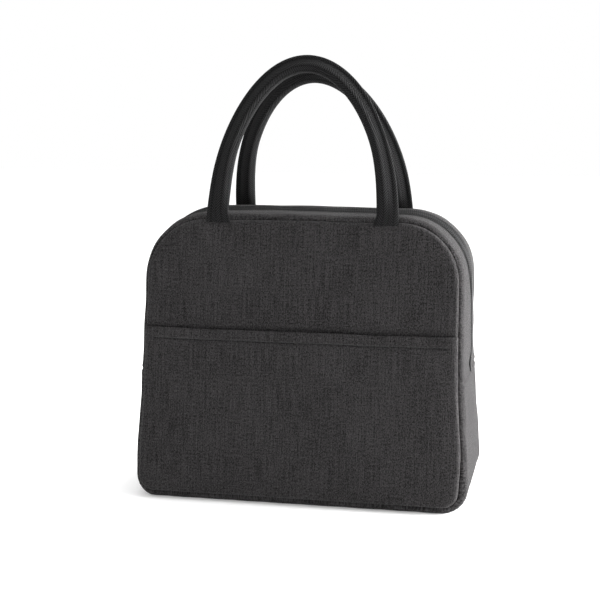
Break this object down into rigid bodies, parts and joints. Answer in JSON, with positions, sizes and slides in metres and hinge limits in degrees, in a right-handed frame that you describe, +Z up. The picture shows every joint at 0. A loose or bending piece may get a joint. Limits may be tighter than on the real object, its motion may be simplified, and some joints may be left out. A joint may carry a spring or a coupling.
{
  "type": "lunch box",
  "caption": "Soft insulated lunch bag with two looped webbing handles, an over-the-top zip, a flat front pocket and a foil-lined cavity.",
  "frame": {"origin": "centre of the flat base, on the surface that the bag stands on", "axes": "+X along the bag's width to its right as seen from the front, +Y from the front to the back, +Z up"},
  "size_m": [0.2395, 0.1261, 0.3121],
  "materials": {
    "outer_fabric": "charcoal heather woven polyester",
    "foam": "soft closed-cell foam",
    "foil_lining": "thin silver foil film",
    "binding": "grey woven binding tape",
    "webbing": "black herringbone webbing",
    "handle_core": "soft foam cord",
    "zip_tape": "black woven tape",
    "zip_coil": "black nylon coil",
    "zip_metal": "dark plated zinc"
  },
  "bodies": {
    "lower_shell": {"lower_gusset": "outer_fabric", "lower_gusset_foam": "foam", "lower_gusset_lining": "foil_lining", "front_panel_lower": "outer_fabric", "front_foam_lower": "foam", "front_lining_lower": "foil_lining", "seam_binding_front_lower": "binding", "back_panel_lower": "outer_fabric", "back_foam_lower": "foam", "back_lining_lower": "foil_lining", "seam_binding_back_lower": "binding", "front_pocket_lower": "outer_fabric"},
    "front_top": {"front_panel_upper": "outer_fabric", "front_foam_upper": "foam", "front_lining_upper": "foil_lining", "seam_binding_front_upper": "binding", "top_strip_front": "outer_fabric", "top_foam_front": "foam", "top_lining_front": "foil_lining", "zip_tape_front": "zip_tape", "zip_coil_front": "zip_coil", "front_pocket_upper": "outer_fabric"},
    "back_top": {"back_panel_upper": "outer_fabric", "back_foam_upper": "foam", "back_lining_upper": "foil_lining", "seam_binding_back_upper": "binding", "top_strip_back": "outer_fabric", "top_foam_back": "foam", "top_lining_back": "foil_lining", "zip_tape_back": "zip_tape", "zip_coil_back": "zip_coil"},
    "front_handle": {"front_handle_webbing": "webbing", "front_handle_core": "handle_core"},
    "back_handle": {"back_handle_webbing": "webbing", "back_handle_core": "handle_core"},
    "zip_slider": {"zip_slider_body": "zip_metal"},
    "zip_pull": {"zip_pull_tab": "zip_metal"}
  },
  "joints": [
    {"name": "front_opening", "type": "hinge", "parent": "lower_shell", "child": "front_top", "pos_m": [0, -0.05958, 0.0905], "axis": [1, 0, 0], "range_deg": [0, 25]},
    {"name": "back_opening", "type": "hinge", "parent": "lower_shell", "child": "back_top", "pos_m": [0, 0.0539, 0.0905], "axis": [-1, 0, 0], "range_deg": [0, 25]},
    {"name": "front_handle_swing", "type": "hinge", "parent": "front_top", "child": "front_handle", "pos_m": [0, -0.04715, 0.1988], "axis": [1, 0, 0], "range_deg": [-3, 165]},
    {"name": "back_handle_swing", "type": "hinge", "parent": "back_top", "child": "back_handle", "pos_m": [0, 0.04715, 0.1988], "axis": [-1, 0, 0], "range_deg": [-3, 175]},
    {"name": "zip_slide", "type": "slide", "parent": "back_top", "child": "zip_slider", "axis": [0.0149, 0, 0.9999], "range_m": [0, 0.05]},
    {"name": "zip_pull_swing", "type": "hinge", "parent": "zip_slider", "child": "zip_pull", "pos_m": [-0.1193, 0, 0.09762], "axis": [0, 1, 0], "range_deg": [0, 170]}
  ]
}
